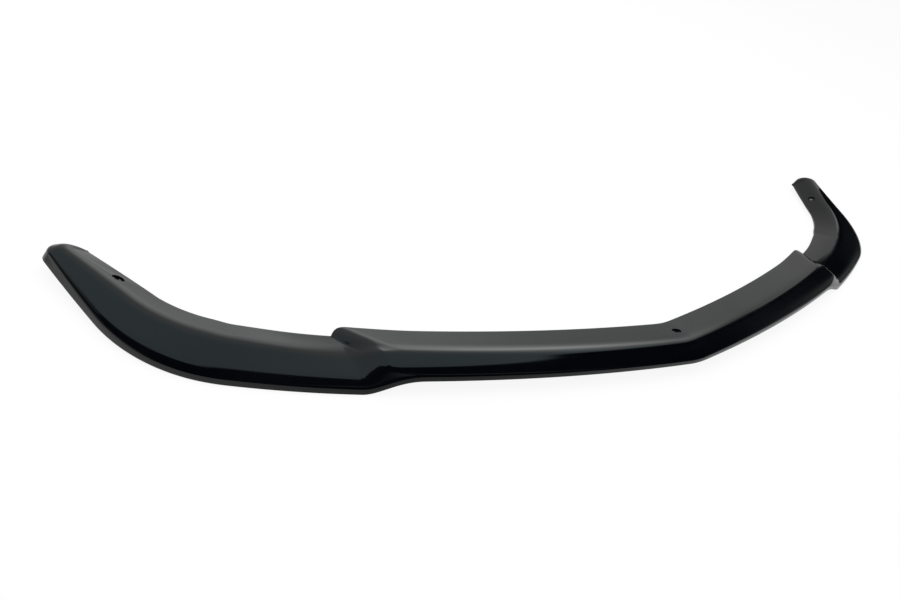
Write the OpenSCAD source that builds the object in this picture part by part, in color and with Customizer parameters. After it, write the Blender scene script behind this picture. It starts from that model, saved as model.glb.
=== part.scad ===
// Front splitter lip of a car: one moulded piece in a shallow V, with two wings that sweep
// back. X runs across the car, the nose points to -Y and +Z is up. The origin lies on the
// centre plane, halfway between the nose and the tips and level with the lowest edge. The
// skin is worked out from the bottom front edge at the nose. All sizes are in millimetres.

/* [Front edge, one side] */
// Half of the bend at the nose, in degrees
nose_turn = 6.5; // [3:0.5:10]
// Length of the rounded nose along the edge
nose_len = 18; // [10:1:40]
// Length of the nearly straight stretch beside the nose
centre_len = 440; // [360:1:460]
// Bend of that stretch, in degrees
centre_turn = 9; // [4:0.5:12]
// Length of the stretch that runs into the corner
wing_len = 225; // [200:1:260]
// Bend of that stretch, in degrees
wing_turn = 9.5; // [5:0.5:14]
// Length of the corner
corner_len = 187; // [140:1:220]
// Bend of the corner, in degrees
corner_turn = 45.5; // [34:0.5:52]
// Length of the side, back to the tip
side_len = 125; // [110:1:170]
// Bend of the side, in degrees
side_turn = 1.5; // [0:0.5:6]
// Radius of the rounded tip in plan
tip_r = 18; // [12:1:22]

/* [Step between centre and wing] */
// Distance from the nose to the end of the step at the crease, along the edge
step_at = 503; // [460:1:550]
// How far the wing juts out past the centre
step_out = 7; // [3:0.5:12]
// How much further out the step ends at the front edge
step_front = 17; // [8:1:24]
// How much further out the step ends at the rear edge
step_rear = 22; // [10:1:28]
// Width of the step at the front edge
blend_front = 88; // [60:1:110]
// Width of the step on the slope
blend_slope = 38; // [28:1:60]
// Width of the step at the crease
blend_crease = 52; // [36:1:70]
// Width of the step at the rear edge
blend_rear = 28; // [16:1:45]
// How much further back the centre reaches at the step
flare = 4; // [0:0.5:8]
// Length over which it does so
flare_len = 120; // [60:5:200]

/* [Depth from front edge to rear edge] */
// Depth at the nose
depth_nose = 87; // [75:1:110]
// Depth of the centre at the step
depth_step = 105; // [90:1:125]
// Depth of the wing at the step
depth_wing = 100; // [90:1:120]
// Depth at the corner
depth_corner = 104; // [92:1:120]
// Depth at the start of the tip
depth_tip = 59; // [50:1:62]

/* [Crease between slope and flange] */
// Distance of the crease from the front edge at the nose
crease_nose = 31; // [27:1:40]
// The same for the centre at the step
crease_step = 43; // [34:1:50]
// The same for the wing at the step
crease_wing = 57; // [50:1:68]
// The same at the corner
crease_corner = 58; // [50:1:72]
// The same at the start of the tip
crease_tip = 27; // [24:1:32]
// How far the rounding of the crease reaches on the slope
slope_soft = 10; // [4:0.5:16]
// How far the rounding of the crease reaches on the flange
flange_soft = 18; // [10:1:34]

/* [Heights] */
// Crease height at the nose
crease_z_nose = 22; // [17:0.5:28]
// Crease height of the centre at the step
crease_z_step = 19.5; // [18:0.5:28]
// Crease height of the wing at the step
crease_z_wing = 1.5; // [0:0.5:6]
// Crease height at the corner
crease_z_corner = 8; // [5:0.5:16]
// Crease height at the start of the tip
crease_z_tip = 20; // [16:0.5:24]
// Rear edge height at the nose
rear_z_nose = 6.5; // [4:0.5:14]
// Rear edge height of the centre at the step
rear_z_step = -1; // [-3:0.5:5]
// Rear edge height of the wing at the step
rear_z_wing = -5; // [-8:0.5:-2]
// Rear edge height at the corner
rear_z_corner = -9; // [-11:0.5:-4]
// Rear edge height at the tip
rear_z_tip = -1.5; // [-4:0.5:3]
// How far the bottom edge of the wing lies below the nose
wing_drop = 17.5; // [12:0.5:20]
// How far the bottom edge of the tip lies below the nose
tip_drop = -3; // [-5:0.5:1]

/* [Lip face and front roll] */
// Height of the upright lip face at the nose
lip_nose = 7.5; // [5:0.5:9]
// Lip height of the centre at the step
lip_step = 8; // [6:0.5:10]
// Lip height of the wing at the step
lip_wing = 8.5; // [6:0.5:10]
// Lip height at the corner
lip_corner = 9.5; // [7:0.5:11]
// Lip height at the tip
lip_tip = 9; // [7:0.5:10]
// Depth of the rounded roll above the lip face
roll_d = 20; // [12:0.5:22]
// Height of that roll at the nose
roll_h_nose = 8.5; // [7:0.5:11]
// Height of the roll of the centre at the step
roll_h_step = 9; // [7:0.5:10]
// Height of the roll of the wing at the step
roll_h_wing = 9.5; // [6:0.5:10]
// Height of the roll at the corner
roll_h_corner = 8.5; // [6:0.5:9]
// Depth of the roll at the tip
roll_d_tip = 11; // [9:0.5:13]
// Height of the roll at the tip
roll_h_tip = 5; // [4:0.5:6]
// How far the lip face leans back over its height at the tip
lean_tip = 6; // [1:0.5:7]

/* [Wall and screw holes] */
// Thickness of the moulded wall
wall = 4; // [3:0.25:4.5]
// Diameter of the screw holes
hole_d = 6.5; // [5:0.1:8]
// Diameter of the shallow seat around each hole
seat_d = 16; // [13:0.5:18]
// Depth of that seat
seat_depth = 1.2; // [0.6:0.1:1.8]
// Thickness of the boss below each seat
boss_h = 2; // [1:0.25:3]
// Distance of the nose hole from the rear edge
nose_hole_in = 30; // [22:1:36]
// Distance from the nose to the tip hole, along the edge
tip_hole_at = 922; // [905:1:940]
// Distance of the tip hole from the rear edge
tip_hole_in = 19; // [14:1:22]

/* [Hidden] */
// How far the lip face leans back everywhere else
lean = 0.6;
// Least height of the hollow below the wall
rim = 0.5;
// How much of the roll's depth the curve of the roll is pulled forward
roll_pull = 0.75;
// Greatest share of the slope or the flange that the rounding of the crease takes
soft_share = 0.8;
// Greatest share of the roll's depth that the wall of the lip face takes
wall_share = 0.7;
// Greatest share of the tip's depth that the roll takes, and of the roll's depth that the lean takes
roll_share = 0.3;
lean_share = 0.5;
// Height of the top of that wall's inner face, as a share of the lip face
lip_share = 0.8;
// Power by which the wing changes from the corner to the tip
narrowing = 1.6;
// Share of the corner after which the wing starts to change
narrow_share = 0.2;
// Powers of the step: of its ease at the front edge, and of its rise at the crease and the rear
ease_front = 1.4;
rise_crease = 2;
rise_rear = 3.5;
// Shares of the section: where the wide step of the front edge has narrowed, where the crease
// lies, and where the ease of the step starts and ends to turn into the rise
front_share = 0.12;
crease_share = 0.5;
turn_start = 0.42;
turn_end = 0.75;
// Depth of the roll where it dies out at the tip's rear corner
roll_end = 2;
// How far the tip's rear corner lies behind the place where the tip starts
corner_run = 5;
// How far that corner lies inside the straight end of the tip
corner_in = 1.5;
// How far the screw hole is cut past both faces
through = 1;
// Places of the crease's rear end and of the rear edge in each section
AFTER = 12;
REAR = 15;
// Stretches of the front edge up to the tip, each with its length and its bend in degrees
BODY = [
    [nose_len, nose_turn],
    [centre_len, centre_turn],
    [wing_len, wing_turn],
    [corner_len, corner_turn],
    [side_len, side_turn],
];
step_start = step_at + step_front - blend_front;
step_end = step_at + step_rear;
corner_at = nose_len + centre_len + wing_len;
corner_mid = corner_at + corner_len / 2;
tip_at = corner_at + corner_len + side_len;
// Place on the edge from which the wing narrows towards the tip
narrow_at = corner_at + corner_len * narrow_share;

function mix(a, b, t) = a + (b - a) * t;
function share(x, from, to) = min(1, max(0, (x - from) / (to - from)));
function soft(t) = t * t * (3 - 2 * t);

// Point reached from p along an arc of the given length and bend
function travel(p, heading, length, turn) =
    abs(turn) < 0.001
    ? p + length * [cos(heading), sin(heading)]
    : p + length / (turn * PI / 180)
        * [sin(heading + turn) - sin(heading), cos(heading) - cos(heading + turn)];

// Point and heading at the distance s along a path made of such stretches
function walk(path, s, i = 0, p = [0, 0], heading = 0) =
    i == len(path) - 1 || s <= path[i][0]
    ? let (turn = path[i][1] * s / path[i][0]) [travel(p, heading, s, turn), heading + turn]
    : walk(path, s - path[i][0], i + 1, travel(p, heading, path[i][0], path[i][1]), heading + path[i][1]);

function right_of(heading) = [sin(heading), -cos(heading)];

// Start of the tip, and its rear corner: the place where the tip starts and where it ends
tip_start = walk(BODY, tip_at);
tip_rear = tip_start[0] - right_of(tip_start[1]) * (depth_tip - step_out);
tip_corner = tip_rear + corner_run * [cos(tip_start[1]), sin(tip_start[1])];

// The rounded tip turns until its straight end touches the round and runs past the corner
tip_centre = tip_start[0] - right_of(tip_start[1]) * tip_r;
overall_depth = tip_centre[1] + tip_r + step_out;
inner_r = tip_r + step_out - corner_in;
to_corner = tip_corner - tip_centre;
end_len = sqrt(to_corner * to_corner - inner_r * inner_r);
end_heading = atan2(to_corner[1], to_corner[0]) + atan2(inner_r, end_len);
tip_turn = end_heading - tip_start[1];
arc_end = tip_at + tip_r * tip_turn * PI / 180;
edge_end = arc_end + end_len;
EDGE = concat(BODY, [[arc_end - tip_at, tip_turn], [end_len, 0]]);

function edge(s) = walk(EDGE, s);
function outward(s) = right_of(edge(s)[1]);

// Values of the centre run evenly from the nose to the step
function centre(nose, step, s) = mix(nose, step, min(s, step_at) / step_at);

// Values of the wing run softly to the corner, then ever faster towards the tip
function wing(step, corner, tip, s) =
    s < narrow_at
    ? mix(step, corner, soft(share(s, step_at, narrow_at)))
    : mix(corner, tip, pow(share(s, narrow_at, tip_at), narrowing));

// How far the skin has turned from centre to wing at s, where v runs from the front to the rear:
// an ease through the step in front of the crease, and a power of the way through it behind
function wingness(s, v) =
    let (
        front = share(v, 0, front_share),
        rear = share(v, crease_share, 1),
        first = step_at + step_front,
        last = step_at + step_rear * rear,
        ahead = share(s, first - mix(blend_front, blend_slope, soft(front)), first),
        behind = share(s, last - mix(blend_crease, blend_rear, rear), last)
    )
    mix(
        soft(pow(ahead, mix(ease_front, 1, front))),
        pow(behind, mix(rise_crease, rise_rear, rear)),
        soft(share(v, turn_start, turn_end))
    );

// Point of a rounded corner: a curve from a to b that is pulled towards c
function bow(a, c, b, t) = (1 - t) * (1 - t) * a + 2 * t * (1 - t) * c + t * t * b;

// Section from the bottom front edge over the top to the rear edge, then back below the wall.
// Each point is a distance from the front edge and a height.
function section(z0, lip, back, rd, rh, crease, crease_z, depth, rear_z) =
    let (
        top = [back, z0 + lip],
        ridge = [crease, crease_z],
        rear = [depth, rear_z],
        roll = [rd, z0 + lip + rh],
        slope = (ridge - roll) / norm(ridge - roll),
        flange = (rear - ridge) / norm(rear - ridge),
        pull = roll - slope * (rd - back) * roll_pull,
        before = ridge - slope * min(slope_soft, soft_share * norm(ridge - roll)),
        after = ridge + flange * min(flange_soft, soft_share * norm(rear - ridge)),
        lip_wall = min(wall, (rd - back) * wall_share)
    )
    concat(
        [[0, z0], top],
        [for (i = [1:4]) bow(top, pull, roll, i / 4)],
        [for (i = [0:6]) bow(before, ridge, after, i / 6)],
        [for (i = [1:3]) mix(after, rear, i / 3)],
        [
            rear - [0, wall],
            [crease, max(crease_z - wall, z0 + rim)],
            [rd, max(roll[1] - wall, z0 + rim)],
            [lip_wall + back * lip_share, max(z0 + lip * lip_share, z0 + rim)],
            [lip_wall, z0],
        ]
    );

function centre_section(s) = section(
    0,
    centre(lip_nose, lip_step, s),
    lean,
    roll_d,
    centre(roll_h_nose, roll_h_step, s),
    centre(crease_nose, crease_step, s),
    centre(crease_z_nose, crease_z_step, s),
    centre(depth_nose, depth_step, s) + flare * soft(share(s, step_end - flare_len, step_end)),
    centre(rear_z_nose, rear_z_step, s)
);

function wing_section(s) = section(
    wing(-wing_drop, -wing_drop, -tip_drop, s),
    wing(lip_wing, lip_corner, lip_tip, s),
    wing(lean, lean, lean_tip, s),
    wing(roll_d, roll_d, roll_d_tip, s),
    wing(roll_h_wing, roll_h_corner, roll_h_tip, s),
    wing(crease_wing, crease_corner, crease_tip, s),
    wing(crease_z_wing, crease_z_corner, crease_z_tip, s),
    wing(depth_wing, depth_corner, depth_tip, s),
    wing(rear_z_wing, rear_z_corner, rear_z_tip, s)
);

// Direction in plan from the front edge to the rear edge: straight back on the centre, then
// turning until it stands square to the edge at the corner
function inward(s) =
    let (a = edge(s)[1] * soft(share(s, step_at, corner_mid)))
    [-sin(a), cos(a)];

// Skin of the body at s, as 3D points
function body_ring(s) =
    let (
        p = edge(s)[0],
        out = outward(s),
        dir = inward(s),
        c = centre_section(s),
        w = wing_section(s)
    )
    [for (i = [0:len(w) - 1])
        let (
            v = (c[i][0] / c[REAR][0] + w[i][0] / w[REAR][0]) / 2,
            e = wingness(s, v),
            q = p + out * step_out * e + dir * mix(c[i][0], w[i][0], e)
        )
        [q[0], q[1], mix(c[i][1], w[i][1], e)]];

// Skin of the tip at s: the lip face runs round the end and dies out at the rear corner
function tip_ring(s) =
    let (
        t = share(s, tip_at, edge_end),
        fade = soft(t),
        p = edge(s)[0] + outward(s) * step_out,
        rear = mix(tip_rear, tip_corner, t),
        depth = norm(rear - p),
        dir = (rear - p) / depth,
        lip = mix(lip_tip, wall / 2, fade),
        rd = min(mix(roll_d_tip, roll_end, fade), depth * roll_share),
        back = min(mix(lean_tip, lean, fade), rd * lean_share),
        rh = mix(roll_h_tip, wall / 2 - rim, fade),
        z0 = mix(-tip_drop, rear_z_tip - wall, fade),
        crease = mix(crease_tip, depth * crease_share, soft(min(1, 2 * t))),
        crease_z = mix(crease_z_tip, rear_z_tip, fade),
        w = section(z0, lip, back, rd, rh, crease, crease_z, depth, rear_z_tip)
    )
    [for (q = w) [p[0] + dir[0] * q[0], p[1] + dir[1] * q[0], q[1]]];

function ring(s) = s <= tip_at ? body_ring(s) : tip_ring(s);

// Stretches of the edge that are cut into sections: start, end and number of steps
CUTS = [
    [0, nose_len, 5],
    [nose_len, step_start, 22],
    [step_start, step_end, 31],
    [step_end, corner_at, 10],
    [corner_at, corner_at + corner_len, 18],
    [corner_at + corner_len, tip_at, 10],
    [tip_at, arc_end, 12],
    [arc_end, edge_end, 6],
];

// Distances from the nose at which sections are cut
SIDE = concat(
    [for (c = CUTS) for (i = [1:c[2]]) mix(c[0], c[1], i / c[2])]
);
RIGHT = [for (s = SIDE) ring(s)];
RINGS = concat(
    [for (i = [len(RIGHT) - 1:-1:0]) [for (q = RIGHT[i]) [-q[0], q[1], q[2]]]],
    [ring(0)],
    RIGHT
);

// Closed skin through all sections, with a flat end at each tip
module skin() {
    m = len(RINGS[0]);
    n = len(RINGS);
    sides = [for (i = [0:n - 2]) for (j = [0:m - 1])
        let (a = i * m + j, b = i * m + (j + 1) % m)
        each [[a, b, b + m], [a, b + m, a + m]]];
    ends = [[for (j = [m - 1:-1:0]) j], [for (j = [0:m - 1]) (n - 1) * m + j]];
    polyhedron([for (r = RINGS) each r], concat(sides, ends));
}

// Place on the flange at s, at the given distance from the rear edge: the point on the skin
// and the direction in which the flange falls to the rear
function seat(s, in) =
    let (
        r = ring(s),
        along = (r[REAR] - r[AFTER]) / norm(r[REAR] - r[AFTER])
    )
    [r[REAR] - along * in, along];

// Turns a child from +Z to the normal of the flange and moves it to the seat
module at_seat(place) {
    along = place[1];
    flat = norm([along[0], along[1]]);
    translate(place[0])
        rotate([0, 0, atan2(along[1], along[0])])
            rotate([0, -atan2(along[2], flat), 0])
                children();
}

module boss(place) {
    at_seat(place)
        translate([0, 0, -wall - boss_h])
            cylinder(h = wall / 2 + boss_h, d = seat_d, $fn = 48);
}

module screw_hole(place) {
    at_seat(place) {
        translate([0, 0, -wall - boss_h - through])
            cylinder(h = wall + boss_h + 2 * through, d = hole_d, $fn = 48);
        translate([0, 0, -seat_depth])
            cylinder(h = wall, d = seat_d, $fn = 48);
    }
}

nose_seat = seat(0, nose_hole_in);
tip_seat = seat(tip_hole_at, tip_hole_in);

// The one moulded piece, with a screw hole in each wing tip and one at the nose
module splitter_lip() {
    color([0.03, 0.03, 0.035])
        translate([0, -overall_depth / 2, wing_drop])
            difference() {
                union() {
                    skin();
                    boss(nose_seat);
                    boss(tip_seat);
                    mirror([1, 0, 0])
                        boss(tip_seat);
                }
                screw_hole(nose_seat);
                screw_hole(tip_seat);
                mirror([1, 0, 0])
                    screw_hole(tip_seat);
            }
}

splitter_lip();
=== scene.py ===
import math

import bmesh
import bpy
import numpy as np
from mathutils import Matrix, Vector


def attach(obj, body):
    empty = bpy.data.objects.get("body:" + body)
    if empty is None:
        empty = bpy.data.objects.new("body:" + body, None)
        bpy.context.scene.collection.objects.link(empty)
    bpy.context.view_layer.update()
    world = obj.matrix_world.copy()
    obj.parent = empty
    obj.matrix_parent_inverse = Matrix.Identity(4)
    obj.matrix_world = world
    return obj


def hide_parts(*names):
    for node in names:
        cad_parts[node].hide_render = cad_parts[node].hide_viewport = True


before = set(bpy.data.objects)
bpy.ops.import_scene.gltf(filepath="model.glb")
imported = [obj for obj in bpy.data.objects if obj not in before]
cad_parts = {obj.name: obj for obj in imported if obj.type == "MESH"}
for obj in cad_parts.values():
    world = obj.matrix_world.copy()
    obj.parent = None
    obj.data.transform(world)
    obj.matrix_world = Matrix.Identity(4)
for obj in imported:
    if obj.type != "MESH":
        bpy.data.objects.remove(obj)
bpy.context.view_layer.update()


# The splitter lip: one moulded skin of gloss black plastic in a shallow V, with two wings that
# step down and sweep back to rounded tips. It is open below and screwed on through its flange.
# Lengths are in millimetres until the mesh is made.

NOSE_LEN, NOSE_TURN = 18, 6.5
CENTRE_LEN, CENTRE_TURN = 440, 9
WING_LEN, WING_TURN = 225, 9.5
CORNER_LEN, CORNER_TURN = 187, 45.5
SIDE_LEN, SIDE_TURN = 125, 1.5
TIP_R = 18

STEP_AT = 503
STEP_OUT = 7
STEP_FRONT = 17
STEP_REAR = 22
BLEND_FRONT = 88
BLEND_SLOPE = 38
BLEND_CREASE = 52
FRONT_SHARE = 0.12
BLEND_REAR = 28
FLARE = 4
FLARE_LEN = 120

WALL = 4
RIM = 0.5
LEAN, LEAN_TIP = 0.6, 6
ROLL_D, ROLL_D_TIP = 20, 11
ROLL_PULL = 0.75
ROLL_END = 2
SLOPE_SOFT = 10
FLANGE_SOFT = 18
WING_DROP = 17.5
TIP_DROP = -3
CORNER_RUN = 5
CORNER_IN = 1.5
EDGE_R = 0.9

# Shares that keep each part of the section clear of the next where it gets narrow.
SOFT_SHARE, WALL_SHARE, ROLL_SHARE, LEAN_SHARE, LIP_SHARE = 0.8, 0.7, 0.3, 0.5, 0.8
CREASE_SHARE, NARROW_SHARE, EDGE_SHARE = 0.5, 0.2, 0.12
NARROW_POWER = 1.6

# How the step goes through the section: powers at its front and rear ends, and where between
# them the front's way gives over to the rear's.
FRONT_POWERS, REAR_POWERS = (1.4, 1), (2, 3.5)
CROSS_FROM, CROSS_TO = 0.42, 0.75

# Where the rounded roll starts on its curve, and the places of points on a small rounding.
ROLL_FROM = 0.14
QUARTERS = (0.25, 0.5, 0.75, 1)

# Depth, crease, crease height, rear edge height, lip height and roll height: on the centre at
# the nose and at the step, then on the wing at the step, at the corner and at the tip.
DEPTH = (87, 105, 100, 104, 59)
CREASE = (31, 43, 57, 58, 27)
CREASE_Z = (22, 19.5, 1.5, 8, 20)
REAR_Z = (6.5, -1, -5, -9, -1.5)
LIP = (7.5, 8, 8.5, 9.5, 9)
ROLL_H = (8.5, 9, 9.5, 8.5, 5)

step_start, step_end = STEP_AT + STEP_FRONT - BLEND_FRONT, STEP_AT + STEP_REAR
corner_at = NOSE_LEN + CENTRE_LEN + WING_LEN
corner_mid = corner_at + CORNER_LEN / 2
narrow_at = corner_at + CORNER_LEN * NARROW_SHARE
tip_at = corner_at + CORNER_LEN + SIDE_LEN


def mix(a, b, t):
    """a at t 0, b at t 1, evenly between them."""
    return a + (b - a) * t


def share(x, start, end):
    """How far x has come from start to end, held between 0 and 1."""
    return np.clip((x - start) / (end - start), 0, 1)


def soft(t):
    """Eases in and out: 3 t squared less 2 t cubed."""
    return t * t * (3 - 2 * t)


def walk(path, s):
    """Points and headings at the distances s along a path of arcs. Each arc of length L and bend
    B starts where the last one ends, and its point is the start plus L over B times the change
    of (sin, -cos) of the heading. The last arc runs on."""
    s = np.asarray(s, float)
    points = np.zeros((len(s), 2))
    headings = np.zeros(len(s))
    start, heading, passed = np.zeros(2), 0.0, 0.0
    for i, (length, turn) in enumerate(path):
        bend = math.radians(turn) / length
        last = i == len(path) - 1
        here = s >= passed
        along = s[here] - passed if last else np.minimum(s[here] - passed, length)
        turned = heading + bend * along
        if abs(bend) < 1e-9:
            step = along[:, None] * [math.cos(heading), math.sin(heading)]
            whole = length * np.array([math.cos(heading), math.sin(heading)])
        else:
            step = np.stack([np.sin(turned) - math.sin(heading),
                             math.cos(heading) - np.cos(turned)], 1) / bend
            ahead = heading + bend * length
            whole = np.array([math.sin(ahead) - math.sin(heading),
                              math.cos(heading) - math.cos(ahead)]) / bend
        points[here] = start + step
        headings[here] = turned
        start, heading, passed = start + whole, heading + bend * length, passed + length
    return points, headings


def right_of(heading):
    """Unit vector in plan to the right of a heading, which is outwards along the front edge."""
    return np.stack([np.sin(heading), -np.cos(heading)], -1)


body_path = [(NOSE_LEN, NOSE_TURN), (CENTRE_LEN, CENTRE_TURN), (WING_LEN, WING_TURN),
             (CORNER_LEN, CORNER_TURN), (SIDE_LEN, SIDE_TURN)]
tip_start, tip_heading = (a[0] for a in walk(body_path, [tip_at]))
tip_out = right_of(tip_heading)
tip_rear = tip_start - tip_out * (DEPTH[-1] - STEP_OUT)
tip_corner = tip_rear + CORNER_RUN * np.array([math.cos(tip_heading), math.sin(tip_heading)])
tip_centre = tip_start - tip_out * TIP_R
overall_depth = tip_centre[1] + TIP_R + STEP_OUT
inner_r = TIP_R + STEP_OUT - CORNER_IN
to_corner = tip_corner - tip_centre
end_len = math.sqrt(to_corner @ to_corner - inner_r ** 2)
end_heading = math.atan2(to_corner[1], to_corner[0]) + math.atan2(inner_r, end_len)
arc_len = TIP_R * (end_heading - tip_heading)
arc_end = tip_at + arc_len
edge_end = arc_end + end_len
front_path = body_path + [(arc_len, math.degrees(end_heading - tip_heading)), (end_len, 0)]


def on_centre(values, s):
    """A size of the centre at s: even from the nose to the step."""
    return mix(values[0], values[1], np.minimum(s, STEP_AT) / STEP_AT)


def on_wing(values, s):
    """A size of the wing at s: soft to the corner, then by a power of the way to the tip."""
    before = mix(values[2], values[3], soft(share(s, STEP_AT, narrow_at)))
    after = mix(values[3], values[4], share(s, narrow_at, tip_at) ** NARROW_POWER)
    return np.where(s < narrow_at, before, after)


def bow(a, c, b, t):
    """Points of a curve from a to b that is pulled towards c, for each share in t."""
    t = np.asarray(t)[None, :, None]
    a, c, b = a[:, None], c[:, None], b[:, None]
    return (1 - t) ** 2 * a + 2 * t * (1 - t) * c + t ** 2 * b


def straight(a, b, count):
    """Points that run evenly from just after a up to b."""
    t = (np.arange(count) + 1.0)[None, :, None] / count
    return a[:, None] + (b - a)[:, None] * t


def point(d, z):
    """Points of a section at the distance d from the front edge and the height z."""
    return np.stack([d + 0 * z, z + 0 * d], -1)


def norm(v):
    """Length of each vector."""
    return np.linalg.norm(v, axis=-1, keepdims=True)


def unit(v):
    """Each vector at length 1."""
    return v / norm(v)


def section(z0, lip, lean, rd, rh, crease, crease_z, depth, rear_z):
    """Closed sections as (distance from the front edge, height), one a row: round bottom edge,
    lip face, round roll, slope, crease, flange, round rear edge, and back below the wall."""
    z0, lip, lean, rd, rh, crease, crease_z, depth, rear_z = np.broadcast_arrays(
        z0, lip, lean, rd, rh, crease, crease_z, depth, rear_z)
    r = np.minimum(EDGE_R, EDGE_SHARE * depth)
    bottom = point(0 * z0, z0)
    top = point(lean, z0 + lip)
    ridge = point(crease, crease_z)
    rear = point(depth, rear_z)
    roll = point(rd, z0 + lip + rh)
    slope, flange = unit(ridge - roll), unit(rear - ridge)
    pull = roll - slope * ((rd - lean) * ROLL_PULL)[:, None]
    before = ridge - slope * np.minimum(SLOPE_SOFT, SOFT_SHARE * norm(ridge - roll))
    after = ridge + flange * np.minimum(FLANGE_SOFT, SOFT_SHARE * norm(rear - ridge))
    face = unit(top - bottom)
    rise = r[:, None]
    low, high = bottom + face * rise, top - face * rise
    lip_wall = np.minimum(WALL, (rd - lean) * WALL_SHARE)
    roll_start = bow(top, pull, roll, [ROLL_FROM])[:, 0]
    rear_top, rear_low = rear - flange * rise, rear - point(0 * r, r)
    heel = point(lip_wall, z0)
    under = [
        point(depth, rear_z - WALL),
        point(crease, np.maximum(crease_z - WALL, z0 + RIM)),
        point(rd, np.maximum(roll[:, 1] - WALL, z0 + RIM)),
        point(lip_wall + lean * LIP_SHARE, np.maximum(z0 + lip * LIP_SHARE, z0 + RIM)),
        heel,
    ]
    parts = [
        (bottom + point(r, 0 * r))[:, None],
        bow(bottom + point(r, 0 * r), bottom, low, QUARTERS),
        straight(low, high, 2),
        bow(high, top, roll_start, QUARTERS),
        bow(top, pull, roll, ROLL_FROM + (1 - ROLL_FROM) * (np.arange(9) + 1) / 9),
        straight(roll, before, 5),
        bow(before, ridge, after, (np.arange(12) + 1) / 12),
        straight(after, rear_top, 9),
        bow(rear_top, rear, rear_low, QUARTERS),
    ]
    here = rear_low
    for corner, count in zip(under, (1, 4, 3, 2, 2)):
        parts.append(straight(here, corner, count))
        here = corner
    return np.concatenate(parts, 1)


def wingness(s, v):
    """How far the skin has turned from centre to wing at s, where v runs from front to rear: an
    ease through the step in front of the crease, and a power of the way through it behind."""
    front, rear = share(v, 0, FRONT_SHARE), share(v, CREASE_SHARE, 1)
    first = STEP_AT + STEP_FRONT
    ahead = share(s, first - mix(BLEND_FRONT, BLEND_SLOPE, soft(front)), first)
    last = STEP_AT + STEP_REAR * rear
    behind = share(s, last - mix(BLEND_CREASE, BLEND_REAR, rear), last)
    ahead, behind = soft(ahead ** mix(*FRONT_POWERS, front)), behind ** mix(*REAR_POWERS, rear)
    return mix(ahead, behind, soft(share(v, CROSS_FROM, CROSS_TO)))


def body_skin(s):
    """The skin up to the tip: centre and wing sections at s, each point mixed by wingness and
    set off from the front edge, straight back on the centre and square to it at the corner."""
    points, heading = walk(front_path, s)
    out = right_of(heading)
    veer = heading * soft(share(s, STEP_AT, corner_mid))
    back = np.stack([-np.sin(veer), np.cos(veer)], -1)
    depth = on_centre(DEPTH, s) + FLARE * soft(share(s, step_end - FLARE_LEN, step_end))
    centre = section(0 * s, on_centre(LIP, s), LEAN, ROLL_D, on_centre(ROLL_H, s),
                     on_centre(CREASE, s), on_centre(CREASE_Z, s), depth, on_centre(REAR_Z, s))
    z0 = on_wing((0, 0, -WING_DROP, -WING_DROP, -TIP_DROP), s)
    wing = section(z0, on_wing(LIP, s), on_wing((0, 0, LEAN, LEAN, LEAN_TIP), s),
                   on_wing((0, 0, ROLL_D, ROLL_D, ROLL_D_TIP), s), on_wing(ROLL_H, s),
                   on_wing(CREASE, s), on_wing(CREASE_Z, s), on_wing(DEPTH, s), on_wing(REAR_Z, s))
    v = (centre[..., 0] / depth[:, None] + wing[..., 0] / on_wing(DEPTH, s)[:, None]) / 2
    e = wingness(s[:, None], v)
    flat = mix(centre, wing, e[..., None])
    front_edge = points[:, None] + out[:, None] * (STEP_OUT * e)[..., None]
    plan = front_edge + back[:, None] * flat[..., :1]
    return np.concatenate([plan, flat[..., 1:]], -1)


def tip_skin(s):
    """The skin of the tip: sections that fan round its rear corner, while lip and roll die out."""
    points, heading = walk(front_path, s)
    t = share(s, tip_at, edge_end)
    fade = soft(t)
    p = points + right_of(heading) * STEP_OUT
    rear = tip_rear + (tip_corner - tip_rear) * t[:, None]
    depth = np.linalg.norm(rear - p, axis=1)
    back = (rear - p) / depth[:, None]
    roll = np.minimum(mix(ROLL_D_TIP, ROLL_END, fade), depth * ROLL_SHARE)
    flat = section(
        mix(-TIP_DROP, REAR_Z[-1] - WALL, fade),
        mix(LIP[-1], WALL / 2, fade),
        np.minimum(mix(LEAN_TIP, LEAN, fade), roll * LEAN_SHARE),
        roll,
        mix(ROLL_H[-1], WALL / 2 - RIM, fade),
        mix(CREASE[-1], depth * CREASE_SHARE, soft(np.minimum(1, 2 * t))),
        mix(CREASE_Z[-1], REAR_Z[-1], fade),
        depth,
        REAR_Z[-1],
    )
    plan = p[:, None] + back[:, None] * flat[..., :1]
    return np.concatenate([plan, flat[..., 1:]], -1)


def cuts(stretches):
    """Distances along the front edge, each stretch (start, end, steps) divided evenly."""
    return np.concatenate([a + (b - a) * (np.arange(n) + 1) / n for a, b, n in stretches])


body_s = cuts([
    (0, NOSE_LEN, 20), (NOSE_LEN, step_start, 140),
    (step_start, step_end, 110), (step_end, corner_at, 50),
    (corner_at, corner_at + CORNER_LEN, 80), (corner_at + CORNER_LEN, tip_at, 50),
])
tip_s = cuts([(tip_at, arc_end, 40), (arc_end, edge_end, 20)])
right = np.concatenate([body_skin(body_s), tip_skin(tip_s)])
middle = body_skin(np.zeros(1))
left = right[::-1] * [-1, 1, 1]
rings = np.concatenate([left, middle, right])
to_frame = np.array([0, -overall_depth / 2, WING_DROP])
verts = ((rings + to_frame) / 1000).reshape(-1, 3)

rows, columns = rings.shape[:2]
ring = np.arange(rows - 1)[:, None] * columns
here = np.arange(columns)[None, :]
beside = (here + 1) % columns
quads = np.stack([ring + here, ring + beside, ring + columns + beside, ring + columns + here],
                 -1).reshape(-1, 4)


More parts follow.
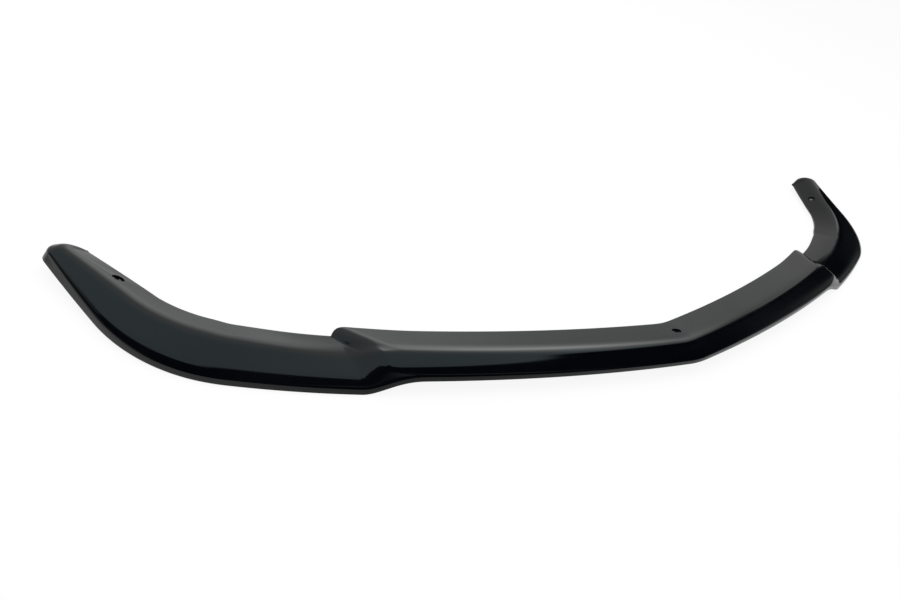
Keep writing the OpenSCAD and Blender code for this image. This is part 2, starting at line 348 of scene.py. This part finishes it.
def lathe(profile, place, normal, around=64):
    """Points and faces of a solid turned from (radius, height) points about the normal at a
    place. Flat faces close it at the first and the last of them."""
    normal = np.asarray(normal, float) / np.linalg.norm(normal)
    side = np.cross(normal, [0, 1, 0.3])
    side /= np.linalg.norm(side)
    other = np.cross(normal, side)
    turn = np.arange(around) * 2 * np.pi / around
    profile = np.asarray(profile, float)
    ring = np.cos(turn)[:, None] * side + np.sin(turn)[:, None] * other
    points = place + profile[:, :1, None] * ring[None] + profile[:, 1:, None] * normal
    a = np.arange(len(profile) - 1)[:, None] * around + np.arange(around)
    b = np.arange(len(profile) - 1)[:, None] * around + (np.arange(around) + 1) % around
    faces = np.stack([a, b, b + around, a + around], -1).reshape(-1, 4).tolist()
    faces += [list(range(around))[::-1],
              [(len(profile) - 1) * around + n for n in range(around)]]
    return points.reshape(-1, 3), faces


def solid(name, points, faces):
    """A mesh object of that name from points in metres and faces."""
    mesh = bpy.data.meshes.new(name)
    mesh.from_pydata(np.asarray(points).tolist(), [], faces)
    mesh.validate()
    made = bpy.data.objects.new(name, mesh)
    bpy.context.scene.collection.objects.link(made)
    return made


end_faces = [list(range(columns))[::-1], [(rows - 1) * columns + n for n in range(columns)]]
lip = solid("splitter_lip_skin", verts, quads.tolist() + end_faces)

# Each screw hole goes through a boss on the underside and opens into a soft dished seat.
HOLE_R = 3.25
NOSE_SEAT_R, NOSE_SEAT_DEPTH, NOSE_SEAT_LIFT = 9, 0.4, 0.06
TIP_SEAT_R, TIP_SEAT_DEPTH, TIP_SEAT_LIFT = 11, 1.6, 0.45
BOSS_R = 8
BOSS_H = 2
NOSE_HOLE_IN = 30
TIP_HOLE_AT = 922
TIP_HOLE_IN = 19
DISH_STEPS = 12
CUT_BELOW, CUT_ABOVE = 2, 3

# Where a section's crease ends and where its flange ends, counted in its points.
crease_end, rear_end = 36, 45


def seat(s, inside):
    """Place on the flange at s, that far inside the rear edge, and the flange's normal there."""
    ring = body_skin(np.array([float(s)]))[0]
    fall = ring[rear_end] - ring[crease_end]
    fall /= np.linalg.norm(fall)
    flat = math.hypot(fall[0], fall[1])
    normal = np.array([-fall[2] * fall[0] / flat, -fall[2] * fall[1] / flat, flat])
    return ring[rear_end] - fall * (inside - EDGE_R) + to_frame, normal


def bore(seat_r, seat_depth, lift):
    """Outline of the hole and its dished seat, whose depth falls off as the square of the way
    left to the rim. The rim stands a little over the place, because the flange is curved."""
    way = np.arange(DISH_STEPS + 1) / DISH_STEPS
    bowl = np.stack([mix(HOLE_R, seat_r, way), lift - (seat_depth + lift) * (1 - way) ** 2], 1)
    return np.concatenate([[[HOLE_R, -WALL - BOSS_H - CUT_BELOW]], bowl, [[seat_r, CUT_ABOVE]]])


boss_profile = [[BOSS_R, -WALL - BOSS_H], [BOSS_R, -WALL / 2]]
holes, bosses = [], []
nose_bore = bore(NOSE_SEAT_R, NOSE_SEAT_DEPTH, NOSE_SEAT_LIFT)
tip_bore = bore(TIP_SEAT_R, TIP_SEAT_DEPTH, TIP_SEAT_LIFT)
for s, inside, hole, mirrored in ((0, NOSE_HOLE_IN, nose_bore, (1,)),
                                  (TIP_HOLE_AT, TIP_HOLE_IN, tip_bore, (1, -1))):
    place, normal = seat(s, inside)
    for sign in mirrored:
        flip = np.array([sign, 1, 1])
        holes.append(lathe(hole, place * flip, normal * flip))
        bosses.append(lathe(boss_profile, place * flip, normal * flip))


def joined(solids):
    """One set of points and faces from several."""
    points, faces, count = [], [], 0
    for p, f in solids:
        points.append(p)
        faces += [[n + count for n in face] for face in f]
        count += len(p)
    return np.concatenate(points) / 1000, faces


for name, solids, operation in (("bosses", bosses, "UNION"), ("holes", holes, "DIFFERENCE")):
    tool = solid(name, *joined(solids))
    cut = lip.modifiers.new(name, "BOOLEAN")
    cut.operation = operation
    cut.solver = "EXACT"
    cut.object = tool
    worked_out = lip.evaluated_get(bpy.context.evaluated_depsgraph_get())
    mesh = bpy.data.meshes.new_from_object(worked_out)
    lip.modifiers.clear()
    lip.data = mesh
    bpy.data.objects.remove(tool)

# Edges that turn by more than this stay crisp; everything else is shaded round.
CRISP = math.radians(38)
MERGE = 1e-6
shape = bmesh.new()
shape.from_mesh(lip.data)
bmesh.ops.remove_doubles(shape, verts=shape.verts, dist=MERGE)
bmesh.ops.recalc_face_normals(shape, faces=shape.faces)
for edge in shape.edges:
    edge.smooth = len(edge.link_faces) == 2 and edge.calc_face_angle(0) < CRISP
for face in shape.faces:
    face.smooth = True
shape.to_mesh(lip.data)
shape.free()


class Wire:
    """A shader socket that can be added to, multiplied and so on, each sum as a Math node."""

    def __init__(self, nodes, socket):
        self.nodes, self.socket = nodes, socket

    def math(self, operation, *others, first=None):
        values = [self, *others] if first is None else [first, self, *others]
        made = self.nodes.add("ShaderNodeMath", {"operation": operation}, dict(enumerate(values)))
        return made[0]

    def __add__(self, other): return self.math("ADD", other)
    def __sub__(self, other): return self.math("SUBTRACT", other)
    def __mul__(self, other): return self.math("MULTIPLY", other)
    def __truediv__(self, other): return self.math("DIVIDE", other)
    def __rsub__(self, other): return self.math("SUBTRACT", first=other)
    def __rtruediv__(self, other): return self.math("DIVIDE", first=other)
    __radd__ = __add__
    __rmul__ = __mul__

    def ease(self, start, end):
        """Soft step of this value: 0 at start, 1 at end."""
        made = self.nodes.add("ShaderNodeMapRange", {"interpolation_type": "SMOOTHSTEP"},
                              {"Value": self, "From Min": start, "From Max": end})
        return made["Result"]


class Nodes:
    """A node tree that is filled one node at a time."""

    def __init__(self, owner):
        owner.use_nodes = True
        self.tree = owner.node_tree
        self.tree.nodes.clear()

    def add(self, kind, settings=None, sockets=None):
        """Adds a node with its settings, then gives its sockets values or links. Returns a dict
        of its outputs by name, and by place."""
        node = self.tree.nodes.new(kind)
        for name, value in (settings or {}).items():
            setattr(node, name, value)
        for name, value in (sockets or {}).items():
            if isinstance(value, Wire):
                self.tree.links.new(value.socket, node.inputs[name])
            else:
                node.inputs[name].default_value = value
        outputs = {o.name: Wire(self, o) for o in node.outputs}
        outputs.update({n: Wire(self, o) for n, o in enumerate(node.outputs)})
        return outputs


# Moulded plastic, polished by the tool: near black, with a faint flow pattern in its gloss and
# a very shallow ripple that softens the reflections.
BLACK_DEEP = (0.0008, 0.0011, 0.0018, 1)
BLACK_PALE = (0.0015, 0.0019, 0.0030, 1)
GLOSS_LOW, GLOSS_HIGH = 0.05, 0.13
FLOW_SCALE, RIPPLE_SCALE, GRAIN_SCALE = 7, 60, 900
RIPPLE_HEIGHT = 0.00002

plastic = bpy.data.materials.new("gloss_black_plastic")
nodes = Nodes(plastic)
where = nodes.add("ShaderNodeTexCoord")["Object"]
flow = nodes.add("ShaderNodeTexNoise", {}, {
    "Vector": where, "Scale": FLOW_SCALE, "Detail": 4, "Roughness": 0.55, "Distortion": 0.6})
grain = nodes.add("ShaderNodeTexNoise", {}, {
    "Vector": where, "Scale": GRAIN_SCALE, "Detail": 2, "Roughness": 0.5})
ripple = nodes.add("ShaderNodeTexNoise", {}, {
    "Vector": where, "Scale": RIPPLE_SCALE, "Detail": 2, "Roughness": 0.45})
cloud = flow["Fac"].ease(0.35, 0.7)
tone = nodes.add("ShaderNodeMix", {"data_type": "RGBA"},
                 {0: cloud, 6: BLACK_DEEP, 7: BLACK_PALE})
gloss = GLOSS_LOW + (GLOSS_HIGH - GLOSS_LOW) * (cloud * 0.6 + grain["Fac"] * 0.4)
bump = nodes.add("ShaderNodeBump", {}, {
    "Height": ripple["Fac"], "Strength": 0.35, "Distance": RIPPLE_HEIGHT})
shader = nodes.add("ShaderNodeBsdfPrincipled", {}, {
    "Base Color": tone[2], "Roughness": gloss, "IOR": 1.5, "Normal": bump["Normal"]})
nodes.add("ShaderNodeOutputMaterial", {}, {"Surface": shader["BSDF"]})

lip.data.materials.clear()
lip.data.materials.append(plastic)
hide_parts("splitter_lip")
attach(lip, "root")


# The studio: a plain white floor, a wide bright wall behind the lip, and black cloth at the sides,
# overhead and behind the camera, so that the gloss shows the form. In the gloss the floor carries
# painted shade before the left wing, and is painted brighter far behind the lip.

FLOOR_SIZE, FLOOR_Z = 60.0, -0.0003
FLOOR_COLOUR = (0.82, 0.82, 0.82, 1)
FLOOR_SEEN = 0.9
GLOSS_LEVEL, GLOSS_SHADED, GLOSS_BEHIND = 0.74, 0.34, 0.12
SHADED_X, SHADED_WIDTH = -0.42, 0.3
BEHIND_FROM, BEHIND_TO = 0.25, 0.8
BLACK, WHITE = (0, 0, 0, 1), (1, 1, 1, 1)

half = FLOOR_SIZE / 2
floor = solid("floor", [(-half, -half, FLOOR_Z), (half, -half, FLOOR_Z), (half, half, FLOOR_Z),
                        (-half, half, FLOOR_Z)], [[0, 1, 2, 3]])
paint = bpy.data.materials.new("white_floor")
nodes = Nodes(paint)
ray = nodes.add("ShaderNodeLightPath")
matt = nodes.add("ShaderNodeBsdfDiffuse", {}, {"Color": FLOOR_COLOUR})
on_floor = nodes.add("ShaderNodeSeparateXYZ", {}, {0: nodes.add("ShaderNodeTexCoord")["Object"]})
# Painted shade and painted light: the floor's colour as the gloss sees it is darkened in a soft
# band before the left wing and made lighter behind the lip.
off = (on_floor["X"] - SHADED_X) / SHADED_WIDTH
behind = on_floor["Y"].ease(BEHIND_FROM, BEHIND_TO)
in_gloss = (GLOSS_LEVEL + GLOSS_BEHIND * behind
            - GLOSS_SHADED * (1 - behind) * (0 - off * off).math("EXPONENT"))
shade = nodes.add("ShaderNodeMix", {"data_type": "RGBA"}, {
    0: 1 - ray["Is Glossy Ray"] * (1 - in_gloss), 6: BLACK, 7: WHITE})
white = nodes.add("ShaderNodeEmission", {}, {"Color": shade[2], "Strength": 1})
seen = ((ray["Is Camera Ray"] + ray["Is Transmission Ray"]) * FLOOR_SEEN
        + ray["Is Glossy Ray"])
floor_mix = nodes.add("ShaderNodeMixShader", {}, {0: seen, 1: matt["BSDF"], 2: white["Emission"]})
nodes.add("ShaderNodeOutputMaterial", {}, {"Surface": floor_mix[0]})
floor.data.materials.append(paint)

# A grey card to the right behind the lip keeps the bright window out of the right wing's gloss.
# Nothing but gloss sees it.
CARD_LEFT, CARD_RIGHT, CARD_Y, CARD_HEIGHT = 0.79, 1.03, 0.25, 0.5
CARD_LEVEL = 0.46

card = solid("grey_card", [(CARD_LEFT, CARD_Y, 0), (CARD_RIGHT, CARD_Y, 0),
                           (CARD_RIGHT, CARD_Y, CARD_HEIGHT), (CARD_LEFT, CARD_Y, CARD_HEIGHT)],
             [[0, 1, 2, 3]])
paint = bpy.data.materials.new("grey_card")
nodes = Nodes(paint)
grey = nodes.add("ShaderNodeEmission", {}, {"Color": WHITE, "Strength": CARD_LEVEL})
nodes.add("ShaderNodeOutputMaterial", {}, {"Surface": grey["Emission"]})
card.data.materials.append(paint)
card.visible_camera = card.visible_diffuse = card.visible_shadow = False

# Azimuth is measured from straight behind the lip towards its right side, elevation from the
# horizon, both in degrees. The wall is a little darker and warmer low down than high up.
WALL_LEVEL, WALL_LOW = 0.54, 0.45
WALL_SOFT = 4
CLOTH_LEVEL = 0.004
ROOM_LEVEL = 0.75
LOW_TINT = (0.97, 1.01, 1.0, 1)
HIGH_TINT = (0.86, 1.06, 1.1, 1)

world = bpy.data.worlds.new("studio")
bpy.context.scene.world = world
nodes = Nodes(world)
facing = nodes.add("ShaderNodeTexCoord")["Generated"]
direction = nodes.add("ShaderNodeSeparateXYZ", {}, {0: facing})
east, north, high = direction["X"], direction["Y"], direction["Z"]
azimuth = east.math("ARCTAN2", north) * (180 / math.pi)
elevation = high.math("ARCSINE") * (180 / math.pi)
left_edge = -58 + 12 * elevation.ease(36, 52)
right_edge = 58 + 17 * elevation.ease(21, 45)
wall = ((azimuth - left_edge).ease(-WALL_SOFT, WALL_SOFT)
        * (1 - (azimuth - right_edge).ease(-WALL_SOFT, WALL_SOFT))
        * (1 - elevation.ease(74, 79)))


def glow(across, wide, up, tall, level, slope=0.0):
    """A soft bright patch of the wall: a bell in azimuth and elevation about its middle. The
    slope moves its middle up with the azimuth."""
    a = (azimuth - across) / wide
    e = (elevation - up - (azimuth - across) * slope) / tall
    return level * (0 - a * a - e * e).math("EXPONENT")


window = glow(41, 20, 25, 9.5, 1.4, slope=0.8) + glow(45, 17, 28, 4.5, 1.0, slope=0.33)
strips = (glow(-84, 17, 7, 16, 0.85) + glow(-66, 16, -3, 9, 0.6) + glow(90, 9.5, 15, 12, 0.2)
          + glow(160, 20, 46, 3, 0.3) + glow(-176, 12, 37, 4, 0.25) + glow(113, 7.4, 2, 19, 1.8))
wall_level = WALL_LOW + (WALL_LEVEL - WALL_LOW) * elevation.ease(15, 45)
studio = CLOTH_LEVEL + strips + wall * (wall_level + window)
ray = nodes.add("ShaderNodeLightPath")
gloss_ray = ray["Is Glossy Ray"] + ray["Is Transmission Ray"]
camera_ray = ray["Is Camera Ray"]
level = camera_ray + (1 - camera_ray) * (gloss_ray * studio + (1 - gloss_ray) * ROOM_LEVEL)
wall_tint = nodes.add("ShaderNodeMix", {"data_type": "RGBA"}, {
    0: elevation.ease(36, 50), 6: LOW_TINT, 7: HIGH_TINT})
tint = nodes.add("ShaderNodeMix", {"data_type": "RGBA"},
                 {0: gloss_ray, 6: WHITE, 7: wall_tint[2]})
sky = nodes.add("ShaderNodeBackground", {}, {"Color": tint[2], "Strength": level})
nodes.add("ShaderNodeOutputWorld", {}, {"Surface": sky[0]})

LAMP_PLACE = (0, 0.8, 2.6)
LAMP_WIDTH, LAMP_DEPTH = 3.2, 2.4
LAMP_TILT = math.radians(-12)
LAMP_POWER = 60

lamp_data = bpy.data.lights.new("soft_lamp", "AREA")
lamp_data.shape = "RECTANGLE"
lamp_data.size, lamp_data.size_y = LAMP_WIDTH, LAMP_DEPTH
lamp_data.energy = LAMP_POWER
lamp = bpy.data.objects.new("soft_lamp", lamp_data)
lamp.location = LAMP_PLACE
lamp.rotation_euler = (LAMP_TILT, 0, 0)
lamp.visible_glossy = False
bpy.context.scene.collection.objects.link(lamp)


# The camera: above the lip's front left, turned on its side a little, as in the photograph.

CAMERA_FROM_NOSE = (-851.46, -451.66, 639.04)
CAMERA_AZIMUTH, CAMERA_ELEVATION, CAMERA_ROLL = -38.38, 36.56, 16.02
FOCAL_PIXELS, PICTURE_WIDTH = 720, 900
SENSOR = 36.0

turn, tilt, roll = (math.radians(a) for a in (CAMERA_AZIMUTH, CAMERA_ELEVATION, CAMERA_ROLL))
ahead = Vector((-math.sin(turn) * math.cos(tilt), math.cos(turn) * math.cos(tilt),
                -math.sin(tilt)))
level_right = Vector((math.cos(turn), math.sin(turn), 0))
level_up = level_right.cross(ahead)
camera_right = level_right * math.cos(roll) + level_up * math.sin(roll)
camera_up = level_up * math.cos(roll) - level_right * math.sin(roll)
camera_data = bpy.data.cameras.new("camera")
camera_data.sensor_width = SENSOR
camera_data.lens = SENSOR * FOCAL_PIXELS / PICTURE_WIDTH
camera_data.clip_start, camera_data.clip_end = 0.01, 100
camera = bpy.data.objects.new("camera", camera_data)
camera_place = Vector((np.array(CAMERA_FROM_NOSE) + to_frame) / 1000)
axes = Matrix((camera_right, camera_up, -ahead)).transposed()
camera.matrix_world = Matrix.Translation(camera_place) @ axes.to_4x4()
bpy.context.scene.collection.objects.link(camera)
bpy.context.scene.camera = camera

bpy.context.scene.view_settings.view_transform = "Standard"
